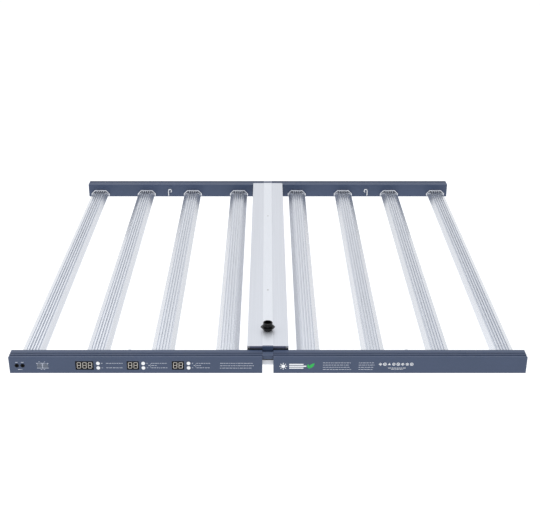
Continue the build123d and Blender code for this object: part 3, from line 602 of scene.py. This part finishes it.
def digit(x, z, face):
    """Seven segments of one digit: three level bars and four upright ones. Their ends move sideways with
    their height, which makes the digit lean."""
    half, tall = DIGIT_WIDTH / 2, DIGIT_HEIGHT / 2
    bars = [(-half, level, half, level) for level in (-tall, 0, tall)]
    bars += [(side, foot, side, foot + tall) for side in (-half, half) for foot in (-tall, 0)]
    segments = []
    for a, b, c, d in bars:
        segments.append(segment(x + a + DIGIT_LEAN * b, z + b, x + c + DIGIT_LEAN * d, z + d, face))
    return segments


def middles(node):
    """Middle x, front y and middle z in millimetres of each separate solid of a CAD node, left to right."""
    loose = bmesh.new()
    loose.from_mesh(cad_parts[node].data)
    bmesh.ops.remove_doubles(loose, verts=loose.verts, dist=1e-6)
    found, left = [], set(loose.verts)
    while left:
        solid, edge = set(), [next(iter(left))]
        while edge:
            vertex = edge.pop()
            if vertex not in solid:
                solid.add(vertex)
                edge += [link.other_vert(vertex) for link in vertex.link_edges]
        left -= solid
        places = np.array([vertex.co for vertex in solid]) / MM
        low, high = places.min(0), places.max(0)
        found.append(((low[0] + high[0]) / 2, low[1], (low[2] + high[2]) / 2))
    loose.free()
    return sorted(found)


for node, count in (("three_digit_display", 3), ("two_digit_displays", 2)):
    shapes = []
    for x, y, z in middles(node):
        for place in range(count):
            shapes += digit(x + (place - (count - 1) / 2) * DIGIT_PITCH, z, y)
    new_piece(f"{node}_segments", joined(shapes), [segment_resin], "left_wing")

# Push buttons: moulded white ABS with a fine satin grain, each held behind the panel by its flange. Use
# leaves patches that are a little darker and shinier.
COLUMNS = ("first", "second", "third")
BUTTON_ROWS = ("plus", "minus")
button_abs = finish(
    "satin white ABS",
    ("#eceef0", "#f6f7f8"),
    metallic=0.0,
    roughness=(0.34, 0.46),
    patch=4,
    grain=0.3,
    relief=0.006,
)
dress(button_abs, *[f"{column}_{row}_button" for column in COLUMNS for row in BUTTON_ROWS])

# Printing on the control panel: white screen ink, a few hundredths of a millimetre thick and a little
# greyed by the coat under it. Words are drawn as plain dashes, so nothing on the rails can be read.
INK = 0.03
HAIRLINE = 0.35
STROKE = 0.9
WORD_HEIGHT = 0.95
SMALL_WORD_HEIGHT = 0.9
LARGE_WORD_HEIGHT = 1.0
WORD_GAP = 1.3
WORD_LENGTHS = (2.2, 6.8)
SHORTEST_WORD = 1.5
panel_ink = finish(
    "white screen printing ink",
    ("#c2c8d4", "#d2d7e1"),
    metallic=0.0,
    roughness=(0.45, 0.6),
    patch=4,
    grain=0.3,
    relief=0.004,
)
panel_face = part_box("left_front_rail")[0].y / MM
draw = np.random.default_rng(7)


def bar(x0, z0, x1, z1, width):
    """Straight printed line."""
    return ribbon([(x0, z0), (x1, z1)], width, panel_face, INK)


def words(start, stop, z, height=WORD_HEIGHT):
    """Printed line of word-long dashes with gaps between them, from start to stop."""
    shapes, x = [], start
    while x < stop - SHORTEST_WORD:
        length = min(draw.uniform(*WORD_LENGTHS), stop - x)
        shapes.append(bar(x, z, x + length, z, height))
        x += length + WORD_GAP
    return shapes


def label(x, z, half, height):
    """Printed words of that half length, centred on x."""
    return words(x - half, x + half, z, height)


def area(xs, lows, highs):
    """Printed patch between two curves: a ring of four corners stands at each x. It is half as thick as
    the lines, which lie over it."""
    depth = panel_face + np.array([-1, -1, 1, 1]) * INK / 2
    levels = np.stack([lows, highs, highs, lows], axis=1)
    rings = np.stack([np.tile(xs[:, None], 4), np.tile(depth, (len(xs), 1)), levels], axis=-1)
    return tube_of(rings * MM)


def middle(node):
    """Middle x and z of a CAD node in millimetres."""
    low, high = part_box(node)
    return (low.x + high.x) / 2 / MM, (low.z + high.z) / 2 / MM


# Labels of the jacks, in the same ink: a short one over each jack and a longer one below the two, whose
# letters are a little taller.
JACK_LABEL_HALF, JACK_LABEL_RISE = 2.6, 7.8
PAIR_LABEL_HALF, PAIR_LABEL_DROP, PAIR_LABEL_HEIGHT = 4.4, 9.4, 1.2
left_print = []
jacks = middles("dimming_jacks")
for x, y, z in jacks:
    left_print += label(x, z + JACK_LABEL_RISE, JACK_LABEL_HALF, LARGE_WORD_HEIGHT)
between = np.mean([place[0] for place in jacks])
left_print += label(between, jacks[0][2] - PAIR_LABEL_DROP, PAIR_LABEL_HALF, PAIR_LABEL_HEIGHT)

# Chart of the lamps' spectrum: two humps on both sides of an upright axis, over a baseline, shaded in grey
# ink under their white outlines. Each side has a stroke from the top of the axis, one at the hump's outer
# shoulder, and a word above and below. Strokes are start, end and width, words are place and half length.
CHART_X, CHART_Z, CHART_HALF = -474.5, 12.2, 12.4
AXIS_FOOT, AXIS_TOP, AXIS_WIDTH = -1.5, 11.6, 1.1
HUMP_OUT, HUMP_HALF, HUMP_FOOT, HUMP_RISE = 6.4, 5.2, 2.0, 9.2
SHADE_FOOT, SHADE_INSET = 0.9, 0.6
CHART_STROKES = ((0.0, AXIS_TOP, 3.6, 12.4, AXIS_WIDTH), (10.2, 11.8, 12.6, 11.2, 1.6))
CHART_WORDS = ((6.2, 15.0, 2.2), (3.0, -3.2, 1.6))
shaded = []
left_print.append(bar(CHART_X - CHART_HALF, CHART_Z, CHART_X + CHART_HALF, CHART_Z, STROKE))
left_print.append(bar(CHART_X, CHART_Z + AXIS_FOOT, CHART_X, CHART_Z + AXIS_TOP, AXIS_WIDTH))
for side in (-1, 1):
    # The height is a foot plus exp(-u^6), a bell with a flat top.
    sweep = np.linspace(-1, 1, 25)
    across = CHART_X + side * (HUMP_OUT + HUMP_HALF * sweep)
    hump = CHART_Z + HUMP_FOOT + HUMP_RISE * np.exp(-((0.95 * sweep) ** 6))
    shaded.append(area(across, np.full(len(sweep), CHART_Z + SHADE_FOOT), hump - SHADE_INSET))
    left_print.append(ribbon(np.stack([across, hump], axis=1), HAIRLINE, panel_face, INK))
    for x0, z0, x1, z1, width in CHART_STROKES:
        left_print.append(bar(CHART_X + side * x0, CHART_Z + z0, CHART_X + side * x1, CHART_Z + z1, width))
    for out, level, half in CHART_WORDS:
        left_print += label(CHART_X + side * out, CHART_Z + level, half, SMALL_WORD_HEIGHT)
chart_ink = finish(
    "grey screen ink",
    ("#545c6b", "#616977"),
    metallic=0.0,
    roughness=(0.45, 0.6),
    patch=4,
    grain=0.3,
    relief=0.004,
)

# Plus and minus signs beside the buttons, and two or three lines of small print to the right of each
# pair. Where there are three, the middle one is short, and a dash and an upright line stand before them.
# Three more lines of small print end the left rail.
LABEL_LINES = (2, 3, 3)
LABEL_LENGTHS = (35.1, 34.0, 29.0)
LABEL_START = 16.6
SIGN_MIDDLE, SIGN_HALF = 8.2, 1.4
DASH_START, DASH_END, DASH_WIDTH = 10.8, 13.6, 1.3
UPRIGHT = 15.0
NOTE_START = -100.6
NOTE_LINES = ((23.9, -29.2), (18.0, -29.2), (12.2, -32.2))
for column, lines, length in zip(COLUMNS, LABEL_LINES, LABEL_LENGTHS):
    x, top = middle(f"{column}_plus_button")
    foot = middle(f"{column}_minus_button")[1]
    centre = (top + foot) / 2
    for z in (top, foot):
        left_print.append(bar(x + SIGN_MIDDLE - SIGN_HALF, z, x + SIGN_MIDDLE + SIGN_HALF, z, STROKE))
    left_print.append(bar(x + SIGN_MIDDLE, top - SIGN_HALF, x + SIGN_MIDDLE, top + SIGN_HALF, STROKE))
    reaches = (length, length) if lines == 2 else (length, length / 3, length)
    for level, reach in zip(np.linspace(top, foot, lines), reaches):
        left_print += words(x + LABEL_START, x + LABEL_START + reach, level)
    if lines == 3:
        left_print.append(bar(x + DASH_START, centre, x + DASH_END, centre, DASH_WIDTH))
        left_print.append(bar(x + UPRIGHT, foot, x + UPRIGHT, top, HAIRLINE))
for level, stop in NOTE_LINES:
    left_print += words(NOTE_START, stop, level)
new_piece("left_rail_printing", joined(left_print), [panel_ink], "left_wing")
new_piece("left_rail_chart_shading", joined(shaded), [chart_ink], "left_wing")

# Printing on the right rail: four lines of small print in two columns, in the panel's ink, and a row of
# signs in a brighter white, rings and polygons with a dot, over two lines of words.
NOTE_LEVELS = (25.0, 19.6, 14.2, 8.8)
LONG_COLUMN, LONG_SPREAD = (116.0, 181.9), 12
SHORT_COLUMN, SHORT_SPREAD = (191.4, 224.5), 4
SIGNS_X, SIGNS_Z, SIGN_PITCH = 237.0, 21.6, 9.4
SIGN_RADIUS, SIGN_WIDTH, DOT_RADIUS = 3.1, 1.1, 1.2
SIGN_CORNERS = (4, 20, 3, 6, 20, 4, 5, 20)
SIGN_WORDS = ((253.4, 291.5, 12.4, LARGE_WORD_HEIGHT), (260.0, 285.0, 9.4, SMALL_WORD_HEIGHT))
mark_ink = finish(
    "bright white screen ink",
    ("#f2f4f7", "#fafbfc"),
    metallic=0.0,
    roughness=(0.4, 0.5),
    patch=4,
    grain=0.3,
    relief=0.004,
)


def ring(x, z, radius, width, corners):
    """Printed ring: a ribbon along a circle, or along a polygon if it has few corners."""
    turn = np.linspace(0, 2 * np.pi, corners, endpoint=False) + np.pi / 2
    path = np.stack([x + radius * np.cos(turn), z + radius * np.sin(turn)], axis=1)
    return ribbon(path, width, panel_face, INK, closed=True)


def spot(x, z, radius):
    """Printed disc: a ribbon along its own diameter, as wide as the circle is high at each place."""
    turn = np.linspace(0.12, np.pi - 0.12, 11)
    path = np.stack([x - radius * np.cos(turn), np.full(11, z)], axis=1)
    return ribbon(path, 2 * radius * np.sin(turn), panel_face, INK)


right_print = []
for level in NOTE_LEVELS:
    right_print += words(LONG_COLUMN[0], LONG_COLUMN[1] - draw.uniform(0, LONG_SPREAD), level)
    stop = SHORT_COLUMN[1] - draw.uniform(0, SHORT_SPREAD)
    right_print += words(SHORT_COLUMN[0], stop, level, LARGE_WORD_HEIGHT)
signs = []
for place, corners in enumerate(SIGN_CORNERS):
    x = SIGNS_X + place * SIGN_PITCH
    signs.append(ring(x, SIGNS_Z, SIGN_RADIUS, SIGN_WIDTH, corners))
    signs.append(spot(x, SIGNS_Z, DOT_RADIUS))
for line in SIGN_WORDS:
    signs += words(*line)
new_piece("right_rail_printing", joined(right_print), [panel_ink], "right_wing")
new_piece("right_rail_signs", joined(signs), [mark_ink], "right_wing")

# The maker's place on the right rail has a plain sign in the same bright ink: a sun with eight rays, and
# beside it three level bars of light. A leaf in green ink, with a smaller one at its foot, ends the row.
SUN_X, SUN_Z, SUN_RADIUS = 32.5, 16.7, 4.2
RAY_START, RAY_END, RAY_WIDTH = 5.6, 8.0, 1.5
LIGHT_X, LIGHT_WIDTH = 45.0, 2.6
LIGHT_BARS = ((21.2, 30.0), (16.7, 36.0), (12.2, 30.0))
LEAF_FOOT = (86.0, 11.0)
LEAVES = ((98.5, 24.0, 7.0), (84.6, 22.0, 4.6))
leaf_ink = finish(
    "leaf green screen ink",
    ("#12a843", "#1cb94f"),
    metallic=0.0,
    roughness=(0.4, 0.5),
    patch=4,
    grain=0.3,
    relief=0.004,
)


def leaf(x0, z0, x1, z1, width):
    """Printed leaf: a ribbon between two tips, whose width follows half a sine wave."""
    share = np.linspace(0.04, 0.96, 11)
    path = np.array([x0, z0]) + share[:, None] * np.array([x1 - x0, z1 - z0])
    return ribbon(path, width * np.sin(np.pi * share), panel_face, INK)


mark = [spot(SUN_X, SUN_Z, SUN_RADIUS)]
for turn in np.arange(8) * np.pi / 4:
    x, z = np.cos(turn), np.sin(turn)
    start = (SUN_X + RAY_START * x, SUN_Z + RAY_START * z)
    mark.append(bar(*start, SUN_X + RAY_END * x, SUN_Z + RAY_END * z, RAY_WIDTH))
for level, reach in LIGHT_BARS:
    mark.append(bar(LIGHT_X, level, LIGHT_X + reach, level, LIGHT_WIDTH))
new_piece("right_rail_mark", joined(mark), [mark_ink], "right_wing")
leaves = [leaf(*LEAF_FOOT, x, z, width) for x, z, width in LEAVES]
new_piece("right_rail_leaf", joined(leaves), [leaf_ink], "right_wing")

# Diodes under the bars: white moulded packages, 3.5 by 2.8 mm, with a glossy pool of yellow phosphor gel,
# soldered to each lamp board in three rows. Every twelfth place in the middle row has a deep red one
# under a smooth, tinted dome.
DIODES_PER_ROW = 99
RED_EVERY = 12
PACKAGE_HALF = (1.75, 1.4)
PACKAGE_HEIGHT = 0.7
POOL_RIM, POOL_FLOOR, POOL_DEPTH = (0.76, 0.74), (0.7, 0.66), 0.25
DOME_FOOT, DOME_RADIUS, DOME_BASE, DOME_HEIGHT = 1.7, 1.5, 0.3, 1.0
DOME_LAST_SLOPE = 1.35
package_white = finish(
    "white diode package",
    ("#e9e9e4", "#f2f2ee"),
    metallic=0.0,
    roughness=(0.3, 0.4),
    patch=2,
    grain=0.3,
    relief=0.004,
)
phosphor = finish(
    "yellow phosphor gel",
    ("#cf8d12", "#dba022"),
    metallic=0.0,
    roughness=(0.16, 0.26),
    patch=3,
    grain=0.3,
    relief=0.006,
    Coat_Weight=0.4,
)
red_lens = finish(
    "deep red diode lens",
    ("#b33a3a", "#c24a44"),
    metallic=0.0,
    roughness=(0.08, 0.16),
    patch=3,
    grain=0.4,
    relief=0.002,
    Coat_Weight=0.6,
)


def repeated(shape, places):
    """The same shape at every place: each place is added to all its points."""
    points, faces = shape
    copies = (places[:, None, :] + points[None, :, :]).reshape(-1, 3)
    starts = np.arange(len(places))[:, None, None] * len(points)
    return copies, (faces[None] + starts).reshape(-1, 4)


def hanging_block(half_x, half_y, steps):
    """Moulded block about its own middle, hanging down: at each step, a ring of four corners at shares of
    the two half widths, and a level."""
    share_x, share_y, level = np.array(steps).T[:, :, None]
    x, y = np.array([(1, 1), (-1, 1), (-1, -1), (1, -1)]).T
    return tube_of(np.stack([half_x * share_x * x, half_y * share_y * y, level + 0 * x], axis=-1) * MM)


def package():
    """Diode package: rings go down the outside, in over the rim and up into the pool."""
    low = -PACKAGE_HEIGHT
    steps = [(1, 1, 0), (1, 1, low), (*POOL_RIM, low), (*POOL_FLOOR, low + POOL_DEPTH)]
    return hanging_block(*PACKAGE_HALF, steps)


def dome():
    """Round lens about its own middle, hanging down: a foot and then eight-sided rings whose radius goes
    with the cosine and whose depth goes with the sine of the slope, closed on the lowest one."""
    turn = np.linspace(0, 2 * np.pi, 8, endpoint=False)
    slope = np.linspace(0, DOME_LAST_SLOPE, 4)
    radius = np.concatenate([[DOME_FOOT], DOME_RADIUS * np.cos(slope)])[:, None]
    level = np.concatenate([[0.0], -DOME_BASE - DOME_HEIGHT * np.sin(slope)])[:, None]
    return tube_of(np.stack([radius * np.cos(turn), radius * np.sin(turn), level + 0 * turn], axis=-1) * MM)


board_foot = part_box("left_lamp_boards")[0].z / MM
# The faces of a package run ring by ring and end with its two lids: the pool is the last four of the
# twelve sides and the second lid.
pool = np.isin(np.arange(len(package()[1])), (8, 9, 10, 11, 13))
ys = (np.arange(DIODES_PER_ROW) - (DIODES_PER_ROW - 1) / 2) * DIODE_PITCH
reds_in_row = np.arange(DIODES_PER_ROW) % RED_EVERY == RED_EVERY // 2
for wing in WINGS:
    centres = [middle(f"{wing}_bar_{number}")[0] for number in BARS]
    x, row, y = np.meshgrid(centres, (-ROW_PITCH, 0.0, ROW_PITCH), ys, indexing="ij")
    places = np.stack([x + row, y, np.full(x.shape, board_foot)], axis=-1).reshape(-1, 3) * MM
    red = (reds_in_row & (row == 0.0)).ravel()
    whites, reds = places[~red], places[red]
    new_piece(
        f"{wing}_white_diodes",
        repeated(package(), whites),
        [package_white, phosphor],
        f"{wing}_wing",
        choice=np.tile(pool, len(whites)),
    )
    new_piece(f"{wing}_red_diodes", repeated(dome(), reds), [red_lens], f"{wing}_wing", True)

# Heads of the two screws that hold the cover strip: zinc-plated steel, low and domed, with a cross recess.
# They stand in for the plain ones of the CAD, and the plating is the same as on the other small steel.
SPOKES, CIRCLES = 48, 22
CROWN_FALL = 0.45
ARM_HALF = 0.17
ARM_FADE = 1.4
PAN_RECESS = 0.4
PAN_CROSS = 0.75


def screw_head(radius, crown, recess, reach):
    """Head about its own middle, looking up: a shallow dome over a polar grid, which falls with the square
    of the distance, minus a cross whose arms fade out towards the reach. The rim runs down to the seat."""
    turn = np.linspace(0, 2 * np.pi, SPOKES, endpoint=False)
    out = np.linspace(0.04, 1, CIRCLES)[::-1, None] * radius
    x, y = out * np.cos(turn), out * np.sin(turn)
    arm = np.minimum(np.abs(x), np.abs(y)) < ARM_HALF * radius
    fade = np.clip(ARM_FADE * (1 - out / reach), 0, 1)
    height = crown * (1 - CROWN_FALL * (out / radius) ** 2) - recess * arm * fade
    top = np.stack([x, y, height + 0 * x], axis=-1)
    rim = top[:1] * np.array([1, 1, 0])
    return tube_of(np.concatenate([rim, top]) * MM)


low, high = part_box("strip_screws")
strip_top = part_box("cover_strip")[1].z / MM
pan_radius = (high.x - low.x) / 2 / MM
pan = screw_head(pan_radius, high.z / MM - strip_top, PAN_RECESS, PAN_CROSS * pan_radius)
seats = np.array([(x, y + pan_radius, strip_top) for x, y, z in middles("strip_screws")]) * MM
pans = new_piece("strip_screw_heads", repeated(pan, seats), [zinc_plate], "spine", True)
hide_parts("strip_screws")

# Wiring headers at both ends of each lamp board: small blocks moulded in natural nylon, a warm white, that
# the bar's leads plug into.
HEADER_HALF = (5.0, 3.2)
HEADER_STEPS = ((1, 1, 0), (1, 1, -1.36), (0.94, 0.94, -1.7))
HEADER_INSET = 5
header_nylon = finish(
    "natural nylon header",
    ("#e6e3d8", "#efece2"),
    metallic=0.0,
    roughness=(0.4, 0.55),
    patch=4,
    grain=0.3,
    relief=0.01,
)
header = hanging_block(*HEADER_HALF, HEADER_STEPS)

# Screws that clamp each lamp board to the web of its bar, in pairs between the rows of diodes: zinc-plated
# steel with small domed heads and a cross recess, turned to look down. The values of the head are its
# radius, crown, recess and the recess's reach.
BOARD_SCREW = (2.2, 1.1, 0.6, 1.7)
SCREW_ROWS = 7
SCREW_INSET = 18
SCREW_SIDE = 6.8
points, faces = screw_head(*BOARD_SCREW)
board_screw = (points * np.array([1, -1, -1]), faces)
for wing in WINGS:
    low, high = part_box(f"{wing}_lamp_boards")
    front, rear = low.y / MM, high.y / MM
    centres = [middle(f"{wing}_bar_{number}")[0] for number in BARS]
    ends = (front + HEADER_INSET, rear - HEADER_INSET)
    spots = np.array([(x, y, board_foot) for x in centres for y in ends]) * MM
    new_piece(
        f"{wing}_board_headers", repeated(header, spots), [header_nylon], f"{wing}_wing"
    )
    rows = np.linspace(front + SCREW_INSET, rear - SCREW_INSET, SCREW_ROWS)
    sides = (-SCREW_SIDE, SCREW_SIDE)
    spots = np.array([(x + side, y, board_foot) for x in centres for y in rows for side in sides]) * MM
    new_piece(
        f"{wing}_board_screws",
        repeated(board_screw, spots),
        [zinc_plate],
        f"{wing}_wing",
        True,
    )
